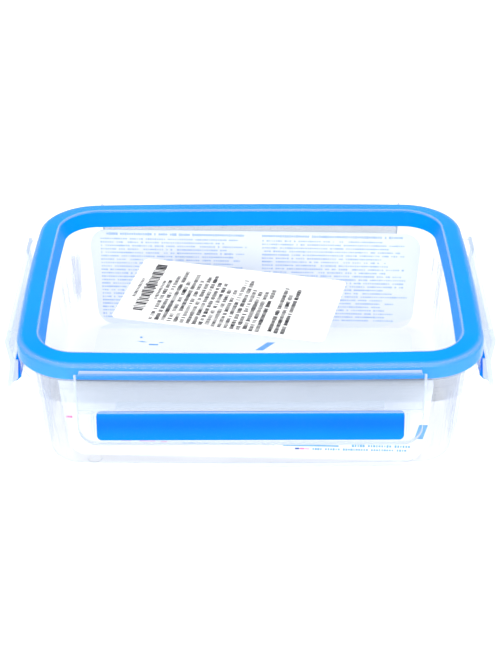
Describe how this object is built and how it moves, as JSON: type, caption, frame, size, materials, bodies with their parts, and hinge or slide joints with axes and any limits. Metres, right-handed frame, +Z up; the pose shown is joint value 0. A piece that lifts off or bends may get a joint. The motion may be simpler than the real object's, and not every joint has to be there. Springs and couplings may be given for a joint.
{
  "type": "snap lid food container",
  "caption": "Rectangular clear food container with a seal-ringed lid that four hinged flaps lock under the tub's collar.",
  "frame": {"origin": "centre of the resting face, under the four feet", "axes": "+X along the length, +Y towards the rear, +Z up"},
  "size_m": [0.2312, 0.1732, 0.0674],
  "materials": {
    "clear_tub": "clear gloss with fine scratches",
    "clear_lid": "clear gloss, slightly hazy",
    "blue_seal": "smooth satin",
    "blue_grip": "smooth satin",
    "printed_card": null,
    "paper_label": null
  },
  "bodies": {
    "tub": {"tub": "clear_tub", "insert_card": "printed_card"},
    "lid": {"lid": "clear_lid", "seal_ring": "blue_seal", "label_sticker": "paper_label", "hinge_web_front": "clear_lid", "hinge_web_right": "clear_lid", "hinge_web_rear": "clear_lid", "hinge_web_left": "clear_lid"},
    "flap_front": {"flap_front": "clear_lid", "grip_bar_front": "blue_grip"},
    "flap_right": {"flap_right": "clear_lid", "grip_bar_right": "blue_grip"},
    "flap_rear": {"flap_rear": "clear_lid", "grip_bar_rear": "blue_grip"},
    "flap_left": {"flap_left": "clear_lid", "grip_bar_left": "blue_grip"}
  },
  "joints": [
    {"name": "lid_lift", "type": "slide", "parent": "tub", "child": "lid", "axis": [0, 0, 1], "range_m": [0, 0.096]},
    {"name": "flap_front_hinge", "type": "hinge", "parent": "lid", "child": "flap_front", "pos_m": [0, -0.08255, 0.0632], "axis": [-1, 0, 0], "range_deg": [0, 115]},
    {"name": "flap_right_hinge", "type": "hinge", "parent": "lid", "child": "flap_right", "pos_m": [0.11155, 0, 0.0632], "axis": [0, -1, 0], "range_deg": [0, 115]},
    {"name": "flap_rear_hinge", "type": "hinge", "parent": "lid", "child": "flap_rear", "pos_m": [0, 0.08255, 0.0632], "axis": [1, 0, 0], "range_deg": [0, 115]},
    {"name": "flap_left_hinge", "type": "hinge", "parent": "lid", "child": "flap_left", "pos_m": [-0.11155, 0, 0.0632], "axis": [0, 1, 0], "range_deg": [0, 115]}
  ]
}
